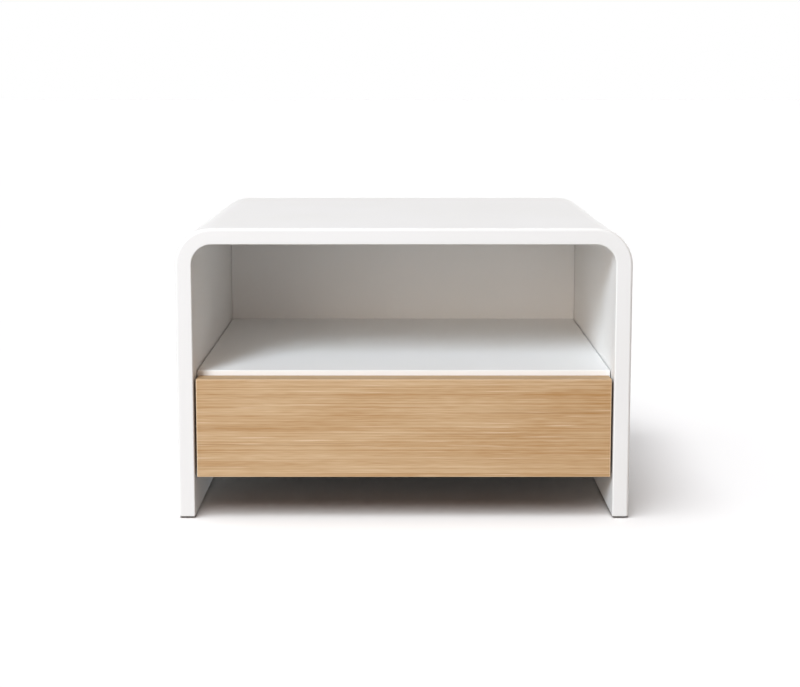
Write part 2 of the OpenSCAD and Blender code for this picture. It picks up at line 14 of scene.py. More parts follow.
import bmesh
import bpy
from mathutils import Euler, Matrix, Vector


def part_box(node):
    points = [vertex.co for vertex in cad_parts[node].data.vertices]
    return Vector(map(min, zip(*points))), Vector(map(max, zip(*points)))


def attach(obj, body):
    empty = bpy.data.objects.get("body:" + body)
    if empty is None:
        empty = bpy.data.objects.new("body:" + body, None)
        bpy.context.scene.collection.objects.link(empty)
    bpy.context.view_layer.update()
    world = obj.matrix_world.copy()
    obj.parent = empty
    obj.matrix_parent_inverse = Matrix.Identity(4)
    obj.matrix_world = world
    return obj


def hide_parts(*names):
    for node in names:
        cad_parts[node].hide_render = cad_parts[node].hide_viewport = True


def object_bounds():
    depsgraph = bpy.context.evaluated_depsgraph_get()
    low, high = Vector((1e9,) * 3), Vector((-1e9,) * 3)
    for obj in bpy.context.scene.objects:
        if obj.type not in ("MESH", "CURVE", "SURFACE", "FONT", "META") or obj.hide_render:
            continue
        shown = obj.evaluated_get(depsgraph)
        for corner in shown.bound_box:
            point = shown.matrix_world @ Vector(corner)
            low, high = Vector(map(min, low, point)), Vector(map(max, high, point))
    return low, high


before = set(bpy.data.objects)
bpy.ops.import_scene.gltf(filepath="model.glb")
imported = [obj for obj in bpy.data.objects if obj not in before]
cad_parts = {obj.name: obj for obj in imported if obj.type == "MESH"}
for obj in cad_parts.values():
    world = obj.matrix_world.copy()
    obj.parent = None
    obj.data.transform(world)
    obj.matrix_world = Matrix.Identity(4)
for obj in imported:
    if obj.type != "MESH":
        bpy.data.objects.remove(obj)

log = logging.getLogger("bedside_cabinet")

MM = 0.001
CAD_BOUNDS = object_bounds()

Colour = tuple[float, float, float, float]
Point2 = tuple[float, float]
Size = tuple[float, float, float]
Tree = bpy.types.NodeTree
Node = bpy.types.Node
Socket = bpy.types.NodeSocket

# A mix node has inputs A and B for each kind of data; these are the two for colours.
MIX_A, MIX_B = 6, 7

# A pattern's values between which it changes: all of them, most, or fewer for more contrast.
WHOLE = (0.0, 1.0)
SOFT = (0.3, 0.7)
FIRM = (0.35, 0.65)

# How squarely a face looks along an axis when it starts to count, and when it counts fully.
SQUARE_ON = (0.75, 0.95)


class Axis(Enum):
    """A direction of the cabinet: across, deep or up."""

    ACROSS = 0
    DEEP = 1
    UP = 2


class Side(Enum):
    """The left or right half of the cabinet, as its nodes' names end."""

    LEFT = "left"
    RIGHT = "right"


# ---- Helpers ----


def linear(hex_colour: str) -> Colour:
    """Turns an sRGB hex colour to linear RGBA.

    Args:
        hex_colour: The colour as "#rrggbb".

    Returns:
        Red, green, blue and alpha in linear light.
    """
    channels = [int(hex_colour[i : i + 2], 16) / 255 for i in (1, 3, 5)]
    red, green, blue = (
        c / 12.92 if c <= 0.04045 else ((c + 0.055) / 1.055) ** 2.4 for c in channels
    )
    return (red, green, blue, 1.0)


def add_node(tree: Tree, kind: str, inputs: dict[Any, Any] | None = None, **settings: Any) -> Node:
    """Adds a shader node with its settings and links.

    Args:
        tree: The node tree that the node joins.
        kind: The node's type, such as "ShaderNodeTexNoise".
        inputs: What each input, by name or index, is linked from or set to. A node
            stands for its first output in use. Maths nodes take their operands by index.
        settings: The node's own properties.

    Returns:
        The new node.
    """
    node = tree.nodes.new(kind)
    for key, value in settings.items():
        setattr(node, key, value)
    for key, value in (inputs or {}).items():
        if isinstance(value, Node):
            value = next(socket for socket in value.outputs if socket.enabled)
        if isinstance(value, Socket):
            tree.links.new(value, node.inputs[key])
        else:
            node.inputs[key].default_value = value
    return node


def mesh_object(name: str, shape: bmesh.types.BMesh, smooth: bool = True) -> bpy.types.Object:
    """Makes an object from a bmesh and frees the bmesh.

    Args:
        name: The object's name.
        shape: The geometry.
        smooth: Whether its faces are shaded smooth.

    Returns:
        The new object, linked to the scene.
    """
    bmesh.ops.recalc_face_normals(shape, faces=shape.faces)
    for face in shape.faces:
        face.smooth = smooth
    mesh = bpy.data.meshes.new(name)
    shape.to_mesh(mesh)
    shape.free()
    piece = bpy.data.objects.new(name, mesh)
    bpy.context.scene.collection.objects.link(piece)
    return piece


def weight_normals(piece: bpy.types.Object) -> None:
    """Keeps large flat faces flat in shading beside their rounded edges.

    Args:
        piece: The piece, which gets the modifier.
    """
    modifier = piece.modifiers.new("flat_faces", "WEIGHTED_NORMAL")
    modifier.weight = 100
    modifier.keep_sharp = True


def rounded_outline(
    width: float, length: float, radii: Point2, inset: float, steps: int = 6
) -> list[Point2]:
    """Gives the points round a rectangle with rounded corners.

    Args:
        width: Size along the first axis, from 0 to width.
        length: Size along the second axis, from 0 to length.
        radii: Radius of the two corners at 0 and of the two at width, before the inset.
        inset: How far the outline lies inside the full one.
        steps: Segments in each corner.

    Returns:
        The points, counter-clockwise, the same number for any inset.
    """
    first, last = radii
    corners = [
        (width - last, length - last, last, 0),
        (first, length - first, first, 90),
        (first, first, first, 180),
        (width - last, last, last, 270),
    ]
    points = []
    for centre_u, centre_v, radius, start in corners:
        for i in range(steps + 1):
            angle = math.radians(start + 90 * i / steps)
            bend = radius - inset
            points.append((centre_u + bend * math.cos(angle), centre_v + bend * math.sin(angle)))
    return points


def box_size(node: str) -> tuple[Vector, Vector]:
    """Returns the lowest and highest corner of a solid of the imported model."""
    low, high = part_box(node)
    return Vector(low), Vector(high)


# ---- Finishes ----


def blotches(
    tree: Tree, place: Node | Socket, size_mm: Sequence[float], detail: float = 2.0
) -> Node:
    """Adds a soft pattern whose blotches have a real size along each axis.

    Args:
        tree: The node tree.
        place: The coordinates, in metres.
        size_mm: The size of one blotch along X, Y and Z, in millimetres.
        detail: Octaves of finer pattern on top.

    Returns:
        The pattern's node; its value is about 0.5 on average.
    """
    scale = [1.0 / (size * MM) for size in size_mm]
    spread = add_node(tree, "ShaderNodeVectorMath", {0: place, 1: scale}, operation="MULTIPLY")
    return add_node(
        tree, "ShaderNodeTexNoise", {"Vector": spread, "Scale": 1.0, "Detail": detail}
    )


def between(limits: Point2) -> dict[str, float]:
    """Returns two limits as the inputs of a map range, which clamps what lies outside."""
    return {"From Min": limits[0], "From Max": limits[1]}


@dataclass(frozen=True)
class Flecks:
    """Lines, spots or clouds of a second colour in a surface.

    Attributes:
        colour: Their colour as sRGB hex.
        size_mm: The size of one along X, Y and Z.
        limits: The pattern's values where one starts and where it shows fully.
        share: How strongly it then shows.
        detail: Octaves of finer pattern.
    """

    colour: str
    size_mm: Size
    limits: Point2 = SOFT
    share: float = 1.0
    detail: float = 2.0

    def over(self, tree: Tree, place: Node | Socket, base: Colour | Node) -> Node:
        """Lays the flecks over a colour.

        Args:
            tree: The node tree.
            place: The coordinates, in metres.
            base: The colour, or the node that gives it.

        Returns:
            The node of the flecked colour.
        """
        pattern = blotches(tree, place, self.size_mm, self.detail)
        shown = add_node(
            tree,
            "ShaderNodeMapRange",
            {"Value": pattern, **between(self.limits), "To Max": self.share},
        )
        return add_node(
            tree,
            "ShaderNodeMix",
            {"Factor": shown, MIX_A: base, MIX_B: linear(self.colour)},
            data_type="RGBA",
        )


@dataclass(frozen=True)
class Finish:
    """A real material with the way its surface was made.

    Attributes:
        name: What a maker calls it.
        colour: Its main colour as sRGB hex.
        roughness: Typical microfacet roughness.
        metallic: 1 for a bare metal, else 0.
        ior: Refractive index of a non-metal.
        sheen_change: What the low and the high end of its pattern add to the roughness.
        depth_mm: Depth of its relief.
    """

    name: str
    colour: str
    roughness: float
    metallic: float = 0.0
    ior: float = 1.5
    sheen_change: Point2 = (0.0, 0.0)
    depth_mm: float = 0.01

    def surface(self, tree: Tree, place: Socket) -> dict[str, Node]:
        """Adds the surface's own pattern; each finish has its own.

        Args:
            tree: The material's node tree.
            place: The coordinates on the piece, in metres.

        Returns:
            The node that drives each socket of the shader.
        """
        return {}

    def worked(
        self, tree: Tree, colour: Node, sheen: Node, relief: Node, limits: Point2 = SOFT
    ) -> dict[str, Node]:
        """Makes the roughness and the relief follow patterns.

        Args:
            tree: The material's node tree.
            colour: The colour.
            sheen: The pattern that the roughness follows.
            relief: The pattern that the relief follows.
            limits: The sheen pattern's values between which the roughness changes.

        Returns:
            The node that drives each socket of the shader.
        """
        low, high = (self.roughness + change for change in self.sheen_change)
        rough = {"Value": sheen, **between(limits), "To Min": low, "To Max": high}
        bumps = {"Distance": self.depth_mm * MM, "Height": relief}
        return {
            "Base Color": colour,
            "Roughness": add_node(tree, "ShaderNodeMapRange", rough),
            "Normal": add_node(tree, "ShaderNodeBump", bumps),
        }

    def build(self) -> bpy.types.Material:
        """Makes the material, once.

        Returns:
            The finished material.
        """
        if self.name in bpy.data.materials:
            return bpy.data.materials[self.name]
        material = bpy.data.materials.new(self.name)
        material.diffuse_color = linear(self.colour)
        material.use_nodes = True
        tree = material.node_tree
        tree.nodes.clear()
        place = add_node(tree, "ShaderNodeTexCoord").outputs["Object"]
        sockets: dict[str, Any] = {
            "Base Color": linear(self.colour),
            "Roughness": self.roughness,
            "Metallic": self.metallic,
        }
        if not self.metallic:
            sockets["IOR"] = self.ior
        sockets.update(self.surface(tree, place))
        shader = add_node(tree, "ShaderNodeBsdfPrincipled", sockets)
        add_node(tree, "ShaderNodeOutputMaterial", {"Surface": shader})
        return material


@dataclass(frozen=True)
class SatinLacquer(Finish):
    """White polyurethane lacquer, sprayed on MDF and left satin.

    The spray levels to a faint orange peel a few millimetres across, which softens
    reflections, and its sheen varies slightly from hand polishing.

    Attributes:
        clouds: A second tone, mixed in as a faint cloudiness.
        polish_mm: Width of one patch of sheen.
        peel_mm: Width of one dimple of the orange peel.
    """

    sheen_change: Point2 = (-0.03, 0.03)
    depth_mm: float = 0.006
    clouds: Flecks = Flecks("#f0efec", (140, 140, 140), detail=3.0)
    polish_mm: float = 45
    peel_mm: float = 2.4

    def surface(self, tree: Tree, place: Socket) -> dict[str, Node]:
        """Adds the orange peel, a faint cloudiness and an uneven sheen.

        Args:
            tree: The material's node tree.
            place: The coordinates on the piece, in metres.

        Returns:
            The node that drives each socket of the shader.
        """
        colour = self.clouds.over(tree, place, linear(self.colour))
        polish = blotches(tree, place, (self.polish_mm,) * 3)
        peel = blotches(tree, place, (self.peel_mm,) * 3, detail=1.0)
        return self.worked(tree, colour, polish, peel)


@dataclass(frozen=True)
class OakVeneer(Finish):
    """Rift-cut oak veneer with solid oak lippings, sanded and matt oiled.

    The grain runs straight across the front in fine, close lines, with slow changes
    of tone along the leaf, and a painted shade darkens it towards the right end. The
    lippings show as thin, paler bands round its edges, a painted highlight of their
    arrises in patches. The top of the upper lippings is darker, a painted shade, and
    the ends show end grain, darkened partly as painted shade in the gaps beside them.
    The darker wood stays a little duller than the rest.

    Attributes:
        dark: The late wood of the rings.
        light: The early wood.
        veins: The darkest rings.
        rays: The pale flecks of the rays, drawn coarser than real to show.
        lipping_highlight: The lippings' face, paler as a painted highlight of the arrises.
        shaded_top: The top face of the upper lippings, darker as painted shade under the shelf.
        end_grain_gap_shade: The end grain of the front's two ends, which oil darkens, made
            darker still as painted shade in the gaps beside the front.
        end_pores: Its open early wood, darker still, which deepens that painted shade.
        ring_mm: Spacing of the rings, which is close in slow-grown oak.
        ring_run_mm: How far a ring runs before it gives way to another.
        growth_run_mm: How far it runs at one strength.
        year_mm: Spacing of the stronger rings of good years.
        year_weight: How strongly they show.
        season_mm: Size of a stretch of good or bad years.
        season_turn: How far such a stretch can shift the years, in radians.
        pore_mm: Width of a line of pores, drawn coarser than the real 0.3 mm to show.
        pore_run_mm: Length of one line of pores.
        drift_mm: Size of one bend of the grain.
        drift_by_mm: How far it carries the grain, either way.
        tone_mm: Size of one cloud of lighter or darker wood.
        falloff_shade_from: Where the painted shade of light falling off starts towards the
            right end, as a share of the way there from the middle.
        falloff_shade_depth: How much darker that painted shade is at the end.
        lipping_mm: Thickness of the lippings.
        long_share: How strongly the lippings along the front show beside the end ones.
        least_highlight_share: The least that the lippings' paler tone, a painted highlight
            of the arrises, shows.
        highlight_patch_mm: Size of one patch of that painted highlight.
        end_ring_mm: Size of one ring of the end grain.
    """

    sheen_change: Point2 = (0.06, -0.04)
    depth_mm: float = 0.04
    dark: str = "#ae824e"
    light: str = "#dabd97"
    veins: Flecks = Flecks("#9f7647", (420, 1.5, 1.5), (0.34, 0.24), 0.4, 0.0)
    rays: Flecks = Flecks("#e2c6a6", (80, 1.4, 1.4), (0.67, 0.8), 0.55, 0.0)
    lipping_highlight: str = "#e0c8a8"
    shaded_top: str = "#bfa582"
    end_grain_gap_shade: str = "#8c6b43"
    end_pores: str = "#6f5231"
    ring_mm: float = 1.2
    ring_run_mm: float = 1600
    growth_run_mm: float = 130
    year_mm: float = 4.1
    year_weight: float = 0.13
    season_mm: Size = (4000, 7, 7)
    season_turn: float = 16.0
    pore_mm: float = 0.8
    pore_run_mm: float = 24
    drift_mm: Size = (500, 150, 150)
    drift_by_mm: float = 0.35
    tone_mm: Size = (220, 22, 22)
    falloff_shade_from: float = 0.1
    falloff_shade_depth: float = 0.16
    lipping_mm: float = 1.3
    long_share: float = 0.5
    least_highlight_share: float = 0.35
    highlight_patch_mm: Size = (40, 1.5, 1.5)
    end_ring_mm: Size = (40, 1.2, 14)

    def along_grain(self, tree: Tree, place: Socket) -> Node:
        """Makes coordinates that follow the grain, which bends a little.

        Args:
            tree: The node tree.
            place: The coordinates, in metres.

        Returns:
            The coordinates along the grain.
        """
        reach = self.drift_by_mm * MM
        drift = blotches(tree, place, self.drift_mm, detail=1.0)
        lift = add_node(
            tree, "ShaderNodeMapRange", {"Value": drift, "To Min": -reach, "To Max": reach}
        )
        offset = add_node(tree, "ShaderNodeCombineXYZ", {"Y": lift, "Z": lift})
        return add_node(tree, "ShaderNodeVectorMath", {0: place, 1: offset}, operation="ADD")

    def years(self, tree: Tree, grain: Node) -> Node:
        """Adds the stronger rings of good years, unevenly spaced.

        Args:
            tree: The node tree.
            grain: The coordinates along the grain, in metres.

        Returns:
            The rings' node, whose value goes from -1 to 1.
        """
        seasons = blotches(tree, grain, self.season_mm, detail=0.0)
        jitter = add_node(
            tree, "ShaderNodeMath", {0: seasons, 1: self.season_turn}, operation="MULTIPLY"
        )
        rise = add_node(tree, "ShaderNodeSeparateXYZ", {0: grain}).outputs[Axis.UP.value]
        phase = add_node(
            tree,
            "ShaderNodeMath",
            {0: rise, 1: 2 * math.pi / (self.year_mm * MM), 2: jitter},
            operation="MULTIPLY_ADD",
        )
        return add_node(tree, "ShaderNodeMath", {0: phase}, operation="SINE")

    def figure(self, tree: Tree, place: Socket) -> tuple[Node, Node]:
        """Makes the veneer's figure.

        Args:
            tree: The node tree.
            place: The coordinates, in metres.

        Returns:
            The wood's colour and the height of its relief.
        """
        _, high = box_size("drawer_front")
        grain = self.along_grain(tree, place)
        ring, pore = (self.ring_mm,) * 2, (self.pore_mm,) * 2
        rings = blotches(tree, grain, (self.ring_run_mm, *ring), detail=1.0)
        growth = blotches(tree, grain, (self.growth_run_mm, *ring), detail=0.0)
        pores = blotches(tree, grain, (self.pore_run_mm, *pore), detail=0.0)
        tone = blotches(tree, grain, self.tone_mm)
        across = add_node(tree, "ShaderNodeSeparateXYZ", {0: place}).outputs[Axis.ACROSS.value]
        # Painted shade: the wood darkens towards the right end, standing in for light falling off
        # across the front.
        darkening = between((self.falloff_shade_from * high.x, high.x))
        painted_falloff_shade = add_node(
            tree,
            "ShaderNodeMapRange",
            {"Value": across, **darkening, "To Max": -self.falloff_shade_depth},
        )
        # How far each pattern moves the wood from its dark tone to its light one.
        weights = ((rings, 0.55), (growth, 0.3), (pores, 0.5), (tone, 1.0))
        added = ((painted_falloff_shade, 1.0), (self.years(tree, grain), self.year_weight))
        height: Any = 0.5 - sum(weight for _, weight in weights) / 2
        for pattern, weight in weights + added:
            height = add_node(
                tree, "ShaderNodeMath", {0: pattern, 1: weight, 2: height}, operation="MULTIPLY_ADD"
            )
        wood = add_node(
            tree,
            "ShaderNodeMix",
            {"Factor": height, MIX_A: linear(self.dark), MIX_B: linear(self.light)},
            data_type="RGBA",
        )
        veined = self.veins.over(tree, grain, wood)
        return self.rays.over(tree, grain, veined), height

    def lippings_and_highlights(self, tree: Tree, place: Socket, veneer: Node) -> Node:
        """Adds the lippings round the veneer.

        Args:
            tree: The node tree.
            place: The coordinates, in metres.
            veneer: The veneer's colour.

        Returns:
            The front's colour.
        """
        low, high = box_size("drawer_front")
        half = (high.z - low.z) / 2
        band = self.lipping_mm * MM
        axes = add_node(tree, "ShaderNodeSeparateXYZ", {0: place}).outputs
        across, up = axes[Axis.ACROSS.value], axes[Axis.UP.value]
        aside = add_node(tree, "ShaderNodeMath", {0: across}, operation="ABSOLUTE")
        level = add_node(tree, "ShaderNodeMath", {0: up, 1: low.z + half}, operation="SUBTRACT")
        rise = add_node(tree, "ShaderNodeMath", {0: level}, operation="ABSOLUTE")
        ends = add_node(
            tree, "ShaderNodeMath", {0: aside, 1: high.x - band}, operation="GREATER_THAN"
        )
        edges = add_node(
            tree, "ShaderNodeMath", {0: rise, 1: half - band}, operation="GREATER_THAN"
        )
        # Painted highlight: paler bands round the edges, in full at the ends and half as strong
        # along the front, stand in for light on the eased arrises.
        lippings_and_highlights = add_node(
            tree,
            "ShaderNodeMath",
            {0: edges, 1: self.long_share, 2: ends},
            operation="MULTIPLY_ADD",
        )
        # The painted highlight shows in patches.
        highlight_patches = blotches(tree, place, self.highlight_patch_mm)
        shade = add_node(
            tree,
            "ShaderNodeMapRange",
            {"Value": highlight_patches, **between(SOFT), "To Min": self.least_highlight_share},
        )
        normal = add_node(tree, "ShaderNodeNewGeometry").outputs["True Normal"]
        facing = add_node(tree, "ShaderNodeSeparateXYZ", {0: normal}).outputs
        upward, sideways = facing[Axis.UP.value], facing[Axis.ACROSS.value]
        is_top = add_node(tree, "ShaderNodeMapRange", {"Value": upward, **between(SQUARE_ON)})
        endward = add_node(tree, "ShaderNodeMath", {0: sideways}, operation="ABSOLUTE")
        is_end = add_node(tree, "ShaderNodeMapRange", {"Value": endward, **between(SQUARE_ON)})
        rings = blotches(tree, place, self.end_ring_mm)
        bands = add_node(tree, "ShaderNodeMapRange", {"Value": rings, **between(FIRM)})
        pale = add_node(
            tree,
            "ShaderNodeMix",
            {"Factor": shade, MIX_A: veneer, MIX_B: linear(self.lipping_highlight)},
            data_type="RGBA",
        )
        # Painted shade: the top face, which lies under the shelf, is darker than the front.
        top = add_node(
            tree,
            "ShaderNodeMix",
            {"Factor": shade, MIX_A: linear(self.dark), MIX_B: linear(self.shaded_top)},
            data_type="RGBA",
        )
        # End grain, darkened partly as painted shade in the gaps beside the front.
        sawn_and_gap_shade = add_node(
            tree,
            "ShaderNodeMix",
            {"Factor": bands, MIX_A: linear(self.end_grain_gap_shade), MIX_B: linear(self.end_pores)},
            data_type="RGBA",
        )
        colour = veneer
        for share, layer in ((lippings_and_highlights, pale), (is_top, top), (is_end, sawn_and_gap_shade)):
            colour = add_node(
                tree,
                "ShaderNodeMix",
                {"Factor": share, MIX_A: colour, MIX_B: layer},
                data_type="RGBA",
            )
        return colour

    def surface(self, tree: Tree, place: Socket) -> dict[str, Node]:
        """Adds the figure, the lippings, an uneven sheen and the open grain.

        Args:
            tree: The material's node tree.
            place: The coordinates on the piece, in metres.

        Returns:
            The node that drives each socket of the shader.
        """
        veneer, height = self.figure(tree, place)
        return self.worked(tree, self.lippings_and_highlights(tree, place, veneer), height, height, WHOLE)


@dataclass(frozen=True)
class BirchPlywood(Finish):
    """Birch plywood, sanded and clear lacquered, its plies showing on cut edges.

    The face is pale and quiet, and its darker lines are a little duller.

    Attributes:
        across: The direction through the sheet, along which the plies are stacked.
        dark: The darker bands of the face.
        cross_ply: The end grain of every other ply.
        glue: The line between two plies.
        glue_share: How strongly it shows.
        ply_mm: Thickness of one ply, drawn coarser than the real 1.4 mm to show.
        face_tone: Share of the darker colour on an average face.
        grain_mm: Width of one line of the grain.
        grain_run: Its length, in widths.
        grain_weight: How strongly the lines show.
        band_mm: Width of one broader band.
        band_run: Its length, as a power of grain_run.
        band_weight: How strongly the bands show.
    """

    sheen_change: Point2 = (-0.04, 0.08)
    depth_mm: float = 0.02
    across: Axis = Axis.ACROSS
    dark: str = "#d8bf94"
    cross_ply: str = "#bf9c6b"
    glue: str = "#7d5e3a"
    glue_share: float = 0.7
    ply_mm: float = 2.0
    face_tone: float = 0.35
    grain_mm: float = 1.8
    grain_run: float = 40.0
    grain_weight: float = 1.1
    band_mm: float = 21.6
    band_run: float = 0.7
    band_weight: float = 0.9

    def surface(self, tree: Tree, place: Socket) -> dict[str, Node]:
        """Adds the face veneer's figure and the stacked plies of the edges.

        Args:
            tree: The material's node tree.
            place: The coordinates on the piece, in metres.

        Returns:
            The node that drives each socket of the shader.
        """
        along = Axis.ACROSS if self.across is Axis.DEEP else Axis.DEEP
        stretch = [self.grain_run if axis is along else 1.0 for axis in Axis]
        grain = blotches(tree, place, [self.grain_mm * k for k in stretch])
        bands = blotches(tree, place, [self.band_mm * k**self.band_run for k in stretch])
        height: Any = self.face_tone - (self.grain_weight + self.band_weight) / 2
        for pattern, weight in ((grain, self.grain_weight), (bands, self.band_weight)):
            height = add_node(
                tree, "ShaderNodeMath", {0: pattern, 1: weight, 2: height}, operation="MULTIPLY_ADD"
            )
        depth = add_node(tree, "ShaderNodeSeparateXYZ", {0: place}).outputs[self.across.value]
        stack = add_node(
            tree, "ShaderNodeMath", {0: depth, 1: 1.0 / (self.ply_mm * MM)}, operation="MULTIPLY"
        )
        phase = add_node(tree, "ShaderNodeMath", {0: stack, 1: 1.0}, operation="PINGPONG")
        ply = add_node(tree, "ShaderNodeMapRange", {"Value": phase, **between(FIRM)})
        # The glue lies at phase 0, where the stack turns.
        seam = add_node(
            tree,
            "ShaderNodeMapRange",
            {"Value": phase, **between((0.15, 0.0)), "To Max": self.glue_share},
        )
        normal = add_node(tree, "ShaderNodeNewGeometry").outputs["True Normal"]
        facing = add_node(tree, "ShaderNodeSeparateXYZ", {0: normal}).outputs[self.across.value]
        through = add_node(tree, "ShaderNodeMath", {0: facing}, operation="ABSOLUTE")
        is_edge = add_node(tree, "ShaderNodeMapRange", {"Value": through, **between((0.6, 0.4))})
        layers = []
        colour: Any = linear(self.colour)
        for share, tone in ((height, self.dark), (ply, self.cross_ply), (seam, self.glue)):
            colour = add_node(
                tree,
                "ShaderNodeMix",
                {"Factor": share, MIX_A: colour, MIX_B: linear(tone)},
                data_type="RGBA",
            )
            layers.append(colour)
        face, _, edge = layers
        colour = add_node(
            tree,
            "ShaderNodeMix",
            {"Factor": is_edge, MIX_A: face, MIX_B: edge},
            data_type="RGBA",
        )
        return self.worked(tree, colour, height, grain, WHOLE)


@dataclass(frozen=True)
class Beech(Finish):
    """Plain beech, turned and fluted, unfinished.

    Attributes:
        flecks: Its short darker flecks.
    """

    depth_mm: float = 0.03
    flecks: Flecks = Flecks("#c39a6b", (5, 1, 1), (0.45, 0.65))

    def surface(self, tree: Tree, place: Socket) -> dict[str, Node]:
        """Adds the flecks and their shallow relief.

        Args:
            tree: The material's node tree.
            place: The coordinates on the piece, in metres.

        Returns:
            The node that drives each socket of the shader.
        """
        colour = self.flecks.over(tree, place, linear(self.colour))
        relief = blotches(tree, place, self.flecks.size_mm)
        return self.worked(tree, colour, relief, relief)


@dataclass(frozen=True)
class ZincPlatedSteel(Finish):
    """Cold-rolled steel strip, roll-formed and bright zinc plated.

    Rolling leaves fine lines along the strip, and the plating varies in tone.

    Attributes:
        patches: The plate where it is duller.
        line_mm: Size of one roll line along X, Y and Z; it is drawn wider than the real
            0.1 mm to show.
    """

    sheen_change: Point2 = (-0.08, 0.1)
    depth_mm: float = 0.006
    patches: Flecks = Flecks("#9b9fa4", (14, 28, 14), (0.35, 0.7), 0.8, 3.0)
    line_mm: Size = (0.5, 60, 0.5)

    def surface(self, tree: Tree, place: Socket) -> dict[str, Node]:
        """Adds roll lines and a patchy plate.

        Args:
            tree: The material's node tree.
            place: The coordinates on the piece, in metres.

        Returns:
            The node that drives each socket of the shader.
        """
        rolling = blotches(tree, place, self.line_mm)
        colour = self.patches.over(tree, place, linear(self.colour))
        return self.worked(tree, colour, rolling, rolling)


@dataclass(frozen=True)
class GrainySurface(Finish):
    """A cast or moulded surface with an even fine grain.

    Attributes:
        shade: A second tone, mixed in softly.
        cloud_mm: Width of one cloud of it.
        grain_mm: Size of one grain.
    """

    sheen_change: Point2 = (-0.05, 0.05)
    depth_mm: float = 0.02
    shade: str = "#303133"
    cloud_mm: float = 9
    grain_mm: float = 0.6

    def surface(self, tree: Tree, place: Socket) -> dict[str, Node]:
        """Adds the grain and a slow change of tone.

        Args:
            tree: The material's node tree.
            place: The coordinates on the piece, in metres.

        Returns:
            The node that drives each socket of the shader.
        """
        clouds = Flecks(self.shade, (self.cloud_mm,) * 3, FIRM)
        colour = clouds.over(tree, place, linear(self.colour))
        grain = blotches(tree, place, (self.grain_mm,) * 3)
        return self.worked(tree, colour, grain, grain)


# Sprayed and polished: even and bright, with broad soft reflections.
LACQUER = SatinLacquer("satin_white_lacquer_on_mdf", "#f2f1ef", 0.52)
# Oiled: the figure of fine straight lines comes out warm, with hardly any gloss.
OAK = OakVeneer("oiled_rift_oak_veneer", "#c8a47c", 0.55)
# Sanded and clear lacquered: pale and plain, with the plies as stripes on the cut edges.
PLY_SIDE = BirchPlywood("birch_plywood_side", "#e8d6b4", 0.42, across=Axis.ACROSS)
PLY_END = BirchPlywood("birch_plywood_end", "#e8d6b4", 0.42, across=Axis.DEEP)
PLY_BOTTOM = BirchPlywood("birch_plywood_bottom", "#e8d6b4", 0.42, across=Axis.UP)
# Turned and left bare: matt, with short dark flecks.
BEECH = Beech("beech_dowel", "#d9b184", 0.6)
# Rolled and plated: a bright, streaky shine with duller clouds in it.
ZINC_PLATE = ZincPlatedSteel("bright_zinc_plated_steel", "#c3c7cb", 0.3, metallic=1.0)
# Cast in a die: a darker grey metal with a blurred shine.
CAST_ZINC = GrainySurface(
    "die_cast_zinc", "#8b8e92", 0.42, metallic=1.0, shade="#6f7276", depth_mm=0.03
)
# Ground and polished: nearly a mirror.
BALL_STEEL = GrainySurface(
    "polished_ball_steel", "#cfd1d3", 0.1, metallic=1.0, shade="#b4b7ba", depth_mm=0.001
)
# Moulded with a fine grain: nearly black, with a dull shine.
BLACK_PLASTIC = GrainySurface("moulded_black_polyamide", "#1b1b1c", 0.5, ior=1.53, shade="#242425")
# Moulded: dark grey, with next to no shine.
STOP_RUBBER = GrainySurface("moulded_grey_rubber", "#4b4c50", 0.75, ior=1.52, shade="#3f4044")
# Cast soft and smooth, and drawn opaque: a pale grey dot with a soft shine.
SOFT_BUMPER = GrainySurface(
    "soft_polyurethane_bumper", "#ccd0cf", 0.35, shade="#bcc0bf", depth_mm=0.005
)


# ---- The cabinet's own pieces ----


